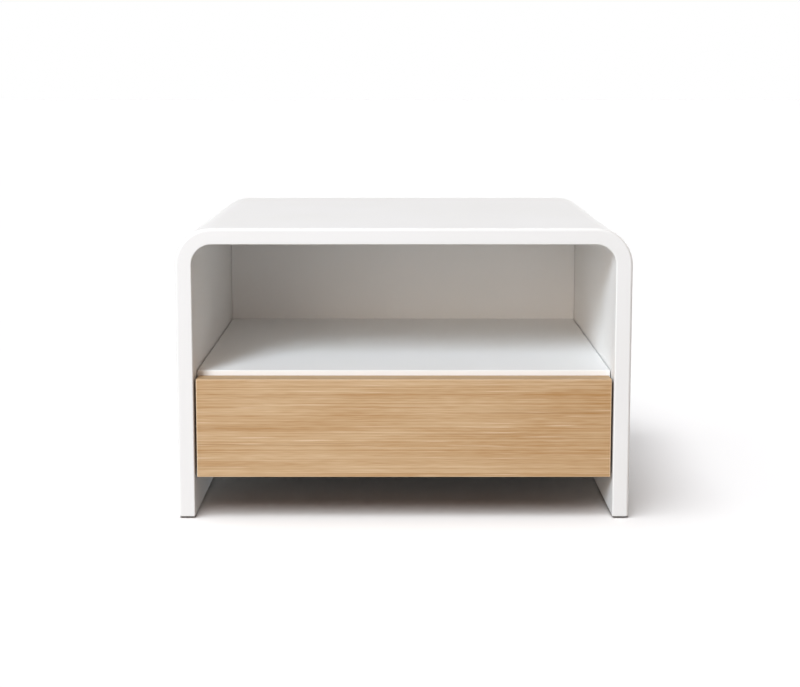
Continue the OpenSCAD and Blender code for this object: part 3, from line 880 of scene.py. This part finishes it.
@dataclass
class WaterfallShell:
    """Top and sides in one lacquered run, bent over two rounded corners.

    Attributes:
        body: The body that it belongs to.
        outer_edge: Rounding of the outer long edges, in metres.
        inner_edge: Rounding of the inner long edges and the lower edges, in metres.
        corner_steps: Segments round each corner.
        foot_steps: Segments round each lower edge.
        foot_share: How far the section draws in there, as a share of the rounding; below
            1, so that its points stay apart.
    """

    body: str = "cabinet"
    outer_edge: float = 4.0 * MM
    inner_edge: float = 1.8 * MM
    corner_steps: int = 28
    foot_steps: int = 5
    foot_share: float = 0.96

    def __post_init__(self) -> None:
        """Reads the shell's sizes from its solids."""
        side_low, side_high = box_size("side_panel_left")
        corner_low, corner_high = box_size("corner_block_left")
        self.board = side_high.x - side_low.x
        self.depth = side_high.y - side_low.y
        self.front = side_low.y
        self.left = side_low.x
        self.foot = side_low.z
        self.top = corner_high.z
        self.radius = corner_high.z - corner_low.z

    def stations(self) -> list[tuple[Point2, Point2, float]]:
        """Lists the places along the run from the left foot to the right foot.

        Returns:
            For each, the outer point in X and Z, the inward direction, and how far
            the section there is drawn in.
        """
        centre_x = self.left + self.radius
        centre_z = self.top - self.radius
        inset_limit = self.inner_edge * self.foot_share
        half = []
        for i in range(self.foot_steps + 1):
            angle = math.radians(90 - 90 * i / self.foot_steps)
            inset = inset_limit * (1 - math.cos(angle))
            rise = self.inner_edge * (1 - math.sin(angle))
            half.append(((self.left, self.foot + rise), (1.0, 0.0), inset))
        for i in range(self.corner_steps + 1):
            angle = math.radians(180 - 90 * i / self.corner_steps)
            outward = (math.cos(angle), math.sin(angle))
            point = (centre_x + self.radius * outward[0], centre_z + self.radius * outward[1])
            half.append((point, (-outward[0], -outward[1]), 0.0))
        other = [
            ((-x, z), (-inward_x, inward_z), inset)
            for (x, z), (inward_x, inward_z), inset in half
        ]
        return half + other[::-1]

    def build(self) -> bpy.types.Object:
        """Sweeps the shell's section along its run.

        Returns:
            The shell.
        """
        shape = bmesh.new()
        edges = (self.outer_edge, self.inner_edge)
        rings = []
        for (x, z), (inward_x, inward_z), inset in self.stations():
            outline = rounded_outline(self.board, self.depth, edges, inset)
            rings.append(
                [
                    shape.verts.new((x + u * inward_x, self.front + v, z + u * inward_z))
                    for u, v in outline
                ]
            )
        count = len(rings[0])
        for ring, following in zip(rings, rings[1:]):
            for i in range(count):
                j = (i + 1) % count
                shape.faces.new((ring[i], ring[j], following[j], following[i]))
        shape.faces.new(rings[0])
        shape.faces.new(rings[-1][::-1])
        piece = mesh_object("waterfall_shell", shape)
        weight_normals(piece)
        return piece

    def dress(self) -> None:
        """Builds the shell, lacquers it and puts it in place of its solids."""
        piece = self.build()
        piece.data.materials.append(LACQUER.build())
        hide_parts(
            "top_panel",
            "corner_block_left",
            "corner_block_right",
            "side_panel_left",
            "side_panel_right",
        )
        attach(piece, self.body)


@dataclass
class DrawerFront:
    """The oak-veneered front with eased arrises and a finger cove below.

    Attributes:
        body: The body that it belongs to.
        arris: Easing of its edges, in metres.
        arris_steps: Segments across each easing.
        arris_angle: How far an edge has to turn to be eased, in degrees.
        cove: Radius of the finger cove, in metres.
        cove_steps: Segments round the cove.
    """

    body: str = "drawer"
    arris: float = 0.9 * MM
    arris_steps: int = 3
    arris_angle: float = 40
    cove: float = 10 * MM
    cove_steps: int = 12

    def outline(self, low: Vector, high: Vector) -> list[Point2]:
        """Gives the front's cross-section.

        Args:
            low: The lowest corner of its solid.
            high: The highest corner of its solid.

        Returns:
            The points in Y and Z, with the cove at the lower rear edge.
        """
        points = [(low.y, high.z), (low.y, low.z)]
        for i in range(self.cove_steps + 1):
            angle = math.radians(180 - 90 * i / self.cove_steps)
            points.append(
                (high.y + self.cove * math.cos(angle), low.z + self.cove * math.sin(angle))
            )
        points.append((high.y, high.z))
        return points

    def build(self) -> bpy.types.Object:
        """Models the front as one board.

        Returns:
            The front.
        """
        low, high = box_size("drawer_front")
        shape = bmesh.new()
        outline = self.outline(low, high)
        ends = [[shape.verts.new((x, y, z)) for y, z in outline] for x in (low.x, high.x)]
        count = len(outline)
        for i in range(count):
            j = (i + 1) % count
            shape.faces.new((ends[0][i], ends[0][j], ends[1][j], ends[1][i]))
        shape.faces.new(ends[0][::-1])
        shape.faces.new(ends[1])
        piece = mesh_object("oak_drawer_front", shape)
        bevel = piece.modifiers.new("eased_arrises", "BEVEL")
        bevel.width = self.arris
        bevel.segments = self.arris_steps
        bevel.limit_method = "ANGLE"
        bevel.angle_limit = math.radians(self.arris_angle)
        weight_normals(piece)
        return piece

    def dress(self) -> None:
        """Builds the front, veneers it and puts it in place of its solid."""
        piece = self.build()
        piece.data.materials.append(OAK.build())
        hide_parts("drawer_front")
        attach(piece, self.body)


@dataclass
class NicheShelf:
    """The niche's lacquered shelf, with a fine shadow line at each end.

    Attributes:
        body: The body that it belongs to.
        shadow_gap: Width of the line between the shelf and a side, in metres.
        end_depth: How much of each end moves in, its eased arrises with it, in metres.
    """

    body: str = "cabinet"
    shadow_gap: float = 1.7 * MM
    end_depth: float = 3.0 * MM

    def build(self) -> bpy.types.Object:
        """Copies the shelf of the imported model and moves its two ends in.

        Returns:
            The shelf.
        """
        end = box_size("shelf")[1].x
        shift = self.shadow_gap - (box_size("side_panel_right")[0].x - end)
        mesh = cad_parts["shelf"].data.copy()
        mesh.materials.clear()
        for corner in mesh.vertices:
            if abs(corner.co.x) > end - self.end_depth:
                corner.co.x -= math.copysign(shift, corner.co.x)
        piece = bpy.data.objects.new("lacquered_shelf", mesh)
        bpy.context.scene.collection.objects.link(piece)
        return piece

    def dress(self) -> None:
        """Builds the shelf, lacquers it and puts it in place of its solid."""
        piece = self.build()
        piece.data.materials.append(LACQUER.build())
        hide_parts("shelf")
        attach(piece, self.body)


@dataclass
class DressedSolids:
    """The solids whose shape is right, each with the finish of its real material.

    Attributes:
        finishes: The nodes that take each finish.
    """

    finishes: dict[Finish, Sequence[str]]

    def dress(self) -> None:
        """Puts each finish on its nodes' material slots."""
        for finish, nodes in self.finishes.items():
            material = finish.build()
            for name in nodes:
                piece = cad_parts[name]
                if not piece.material_slots:
                    piece.data.materials.append(material)
                for place in piece.material_slots:
                    place.material = material
            log.info("%s: %d nodes", finish.name, len(nodes))


def on_both_sides(names: Iterable[str]) -> list[str]:
    """Returns each name with _left and with _right."""
    return [f"{name}_{side.value}" for name in names for side in Side]


SOLIDS = DressedSolids(
    {
        LACQUER: ["bottom_panel", "back_panel"],
        PLY_SIDE: on_both_sides(["drawer_side"]),
        PLY_END: ["box_front", "box_back"],
        PLY_BOTTOM: ["box_bottom"],
        BEECH: ["corner_dowels", "panel_dowels", "box_dowels"],
        ZINC_PLATE: on_both_sides(["cabinet_slide", "middle_slide", "drawer_slide"])
        + ["cam_bolts", "back_screws", "glide_nails", "front_screws"]
        + ["cabinet_slide_screws", "drawer_slide_screws"],
        CAST_ZINC: ["cam_discs"],
        BALL_STEEL: on_both_sides(["outer_balls", "inner_balls"]),
        BLACK_PLASTIC: ["glides"] + on_both_sides(["outer_cage", "inner_cage"]),
        STOP_RUBBER: ["slide_stops"],
        SOFT_BUMPER: ["drawer_bumpers"],
    }
)


# ---- Studio ----


class Lit(Enum):
    """What a lamp lights: the cabinet alone, or the floor alone."""

    CABINET = "EXCLUDE"
    FLOOR = "INCLUDE"


# How far the nearer lamps stand from the cabinet, in metres, and the apparent width of a
# whole wall of light, in degrees.
LAMP_DISTANCE = 8.6
WALL = 179


@dataclass(frozen=True)
class SoftLamp:
    """A wide, plain, round lamp that faces the cabinet.

    Attributes:
        name: What the lamp is for.
        colour: Its light as sRGB hex.
        strength: Its irradiance at the cabinet.
        elevation: Height above the horizon, in degrees.
        azimuth: How far it stands to the left of straight ahead, in degrees.
        width: Its apparent width, in degrees.
        lit: What it lights.
        distance: From the cabinet, in metres; 0 for one as far off as the sun.
    """

    name: str
    colour: str
    strength: float
    elevation: float
    azimuth: float
    width: float
    lit: Lit
    distance: float = 0.0

    def build(self, floor: bpy.types.Object) -> None:
        """Adds the lamp.

        Args:
            floor: The floor, which the lamp lights alone or leaves out.
        """
        lamp = bpy.data.lights.new(self.name, "AREA" if self.distance else "SUN")
        lamp.color = linear(self.colour)[:3]
        if self.distance:
            radius = self.distance * math.tan(math.radians(self.width / 2))
            lamp.shape = "DISK"
            lamp.size = 2 * radius
            lamp.energy = self.strength * math.pi * (self.distance**2 + radius**2)
        else:
            lamp.angle = math.radians(self.width)
            lamp.energy = self.strength
        holder = bpy.data.objects.new(self.name, lamp)
        turn = Euler((math.radians(90 - self.elevation), 0.0, -math.radians(self.azimuth)))
        middle = (Vector(CAD_BOUNDS[0]) + Vector(CAD_BOUNDS[1])) / 2
        holder.rotation_euler = turn
        holder.location = middle + turn.to_matrix() @ Vector((0.0, 0.0, self.distance))
        holder.visible_camera = False
        bpy.context.scene.collection.objects.link(holder)
        receivers = bpy.data.collections.new(f"{self.name}_receivers")
        receivers.objects.link(floor)
        receivers.collection_objects[0].light_linking.link_state = self.lit.value
        holder.light_linking.receiver_collection = receivers


@dataclass
class Studio:
    """Pale floor, white surroundings, and soft lamps for the cabinet and for the floor.

    Both key lamps stand to the left, and the other lamps fill in.

    Attributes:
        floor_size: Width of the floor, in metres.
        floor_seen: The floor's paint to the eye, as sRGB hex.
        floor_bounce: Its paint to the light that it throws back on the cabinet.
        ambient: Strength of the surroundings' light.
        ambient_colour: Its colour as sRGB hex.
        lamps: The soft lamps.
    """

    floor_size: float = 60.0
    floor_seen: str = "#dedede"
    floor_bounce: str = "#828282"
    ambient: float = 0.02
    ambient_colour: str = "#ffffff"
    lamps: tuple[SoftLamp, ...] = (
        SoftLamp("cabinet_key", "#e2f1ff", 2.65, 38, 33, 23, Lit.CABINET, LAMP_DISTANCE),
        SoftLamp("cabinet_low_fill", "#fff2e6", 0.9, 15, 34, 44, Lit.CABINET, LAMP_DISTANCE),
        SoftLamp("cabinet_front_wall", "#ffdec6", 1.08, 25, 0, WALL, Lit.CABINET),
        SoftLamp("cabinet_rear_fill", "#f2faff", 2.5, 3, -135, 50, Lit.CABINET, LAMP_DISTANCE),
        SoftLamp("cabinet_rear_wall", "#ffffff", 0.3, 5, 180, WALL, Lit.CABINET),
        SoftLamp("floor_key", "#f8fbff", 2.08, 77, 75, 30, Lit.FLOOR),
        SoftLamp("floor_high_fill", "#f8fbff", 0.42, 61, 42, 44, Lit.FLOOR),
        SoftLamp("floor_front_fill", "#ffffff", 1.53, 60, 10, 40, Lit.FLOOR),
        SoftLamp("floor_left_fill", "#fffdf8", 0.7, 55, 80, 40, Lit.FLOOR),
        SoftLamp("floor_low_fill", "#ffb080", 0.28, 38, 0, 40, Lit.FLOOR),
    )

    def floor(self) -> bpy.types.Object:
        """Lays the floor: pale to the eye, and a plain grey to the light that it bounces.

        Returns:
            The floor.
        """
        half = self.floor_size / 2
        shape = bmesh.new()
        corners = [(-half, -half), (half, -half), (half, half), (-half, half)]
        shape.faces.new([shape.verts.new((x, y, 0.0)) for x, y in corners])
        piece = mesh_object("studio_floor", shape, smooth=False)
        material = bpy.data.materials.new("studio_floor_paint")
        material.use_nodes = True
        tree = material.node_tree
        tree.nodes.clear()
        seen = self.is_seen(tree)
        bounce, paint = linear(self.floor_bounce), linear(self.floor_seen)
        colour = add_node(
            tree,
            "ShaderNodeMix",
            {"Factor": seen, MIX_A: bounce, MIX_B: paint},
            data_type="RGBA",
        )
        shader = add_node(tree, "ShaderNodeBsdfDiffuse", {"Color": colour})
        add_node(tree, "ShaderNodeOutputMaterial", {"Surface": shader})
        piece.data.materials.append(material)
        return piece

    def is_seen(self, tree: Tree) -> Node:
        """Adds a test of whether the eye sees a thing itself, in a mirror or through glass.

        Args:
            tree: The node tree.

        Returns:
            The node, whose value is then 1 and otherwise 0.
        """
        path = add_node(tree, "ShaderNodeLightPath")
        direct, mirrored = path.outputs["Is Camera Ray"], path.outputs["Is Glossy Ray"]
        seen = add_node(tree, "ShaderNodeMath", {0: direct, 1: mirrored}, operation="MAXIMUM")
        through = path.outputs["Is Transmission Ray"]
        return add_node(tree, "ShaderNodeMath", {0: seen, 1: through}, operation="MAXIMUM")

    def surroundings(self) -> None:
        """Sets the world: white where it is seen, and a plain light elsewhere."""
        world = bpy.data.worlds.new("studio_surroundings")
        bpy.context.scene.world = world
        world.use_nodes = True
        tree = world.node_tree
        tree.nodes.clear()
        seen = self.is_seen(tree)
        tint, white = linear(self.ambient_colour), linear("#ffffff")
        colour = add_node(
            tree,
            "ShaderNodeMix",
            {"Factor": seen, MIX_A: tint, MIX_B: white},
            data_type="RGBA",
        )
        strength = add_node(
            tree, "ShaderNodeMapRange", {"Value": seen, "To Min": self.ambient, "To Max": 1.0}
        )
        light = add_node(tree, "ShaderNodeBackground", {"Color": colour, "Strength": strength})
        add_node(tree, "ShaderNodeOutputWorld", {"Surface": light})

    def build(self) -> None:
        """Builds the floor, the surroundings and the lamps."""
        floor = self.floor()
        self.surroundings()
        for lamp in self.lamps:
            lamp.build(floor)


@dataclass
class Viewpoint:
    """A camera straight in front, tilted a little down and its lens shifted the rest.

    Attributes:
        distance: From the cabinet's front edges, in metres.
        height: Above the floor, in metres.
        aside: To the right of the cabinet's middle, in metres.
        tilt: Below the horizon, in degrees.
        film_mm: Width of the film.
        lens_mm: Focal length.
        shift_down: Shift of the lens as a share of the film's width.
    """

    distance: float = 1.5602
    height: float = 0.5857
    aside: float = -0.005
    tilt: float = 5.5
    film_mm: float = 36.0
    lens_mm: float = 54.276
    shift_down: float = 0.1876

    def build(self) -> None:
        """Adds the camera and makes it the scene's."""
        film = bpy.data.cameras.new("front_camera")
        film.sensor_width = self.film_mm
        film.lens = self.lens_mm
        film.shift_y = -self.shift_down
        film.clip_end = 200.0
        camera = bpy.data.objects.new("front_camera", film)
        camera.location = (self.aside, CAD_BOUNDS[0][1] - self.distance, self.height)
        camera.rotation_euler = (math.radians(90 - self.tilt), 0.0, 0.0)
        bpy.context.scene.collection.objects.link(camera)
        bpy.context.scene.camera = camera


def main() -> None:
    """Builds the camera, the studio and every piece, in that order."""
    logging.basicConfig(level=logging.INFO, format="%(name)s: %(message)s")
    bpy.context.scene.view_settings.view_transform = "Standard"
    Viewpoint().build()
    Studio().build()
    for piece in (WaterfallShell(), DrawerFront(), NicheShelf(), SOLIDS):
        piece.dress()
        log.info("%s dressed", type(piece).__name__)


if __name__ == "__main__":
    main()
